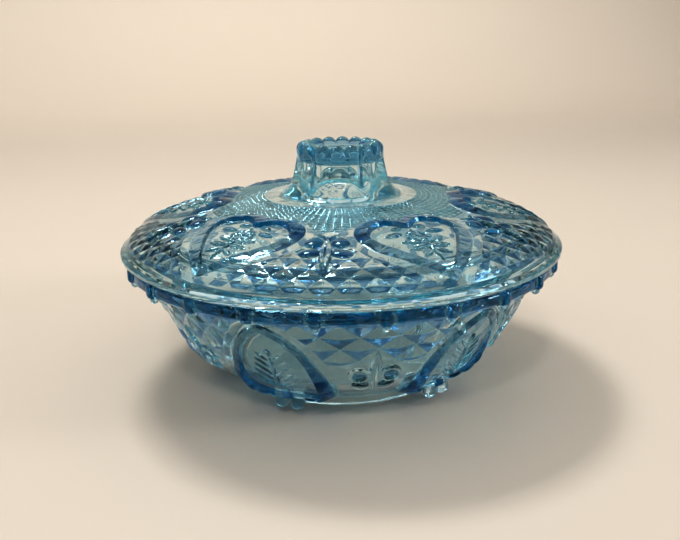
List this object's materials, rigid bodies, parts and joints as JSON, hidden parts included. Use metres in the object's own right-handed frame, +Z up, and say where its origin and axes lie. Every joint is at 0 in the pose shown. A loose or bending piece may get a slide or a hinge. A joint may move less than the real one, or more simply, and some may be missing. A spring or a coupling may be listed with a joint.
{
  "type": "covered candy dish",
  "caption": "Round covered dish in pressed blue glass: footed bowl with bamboo rim and heart medallions, and a lift-off domed lid with a scalloped hollow knob.",
  "frame": {"origin": "centre of the foot ring's flat underside, where the dish stands on the table", "axes": "+Z up through the knob; the middle of one diamond panel of the bowl faces -Y"},
  "size_m": [0.178, 0.178, 0.0945],
  "materials": {
    "bowl_glass": "clear pressed ice-blue glass, deeper blue where it is thick",
    "lid_glass": "clear pressed ice-blue glass, deeper blue where it is thick"
  },
  "bodies": {
    "bowl_body": {"bowl": "bowl_glass"},
    "lid_body": {"lid": "lid_glass"}
  },
  "joints": [
    {"name": "lid_lift", "type": "slide", "parent": "bowl_body", "child": "lid_body", "axis": [0, 0, 1], "range_m": [0, 0.12]}
  ]
}
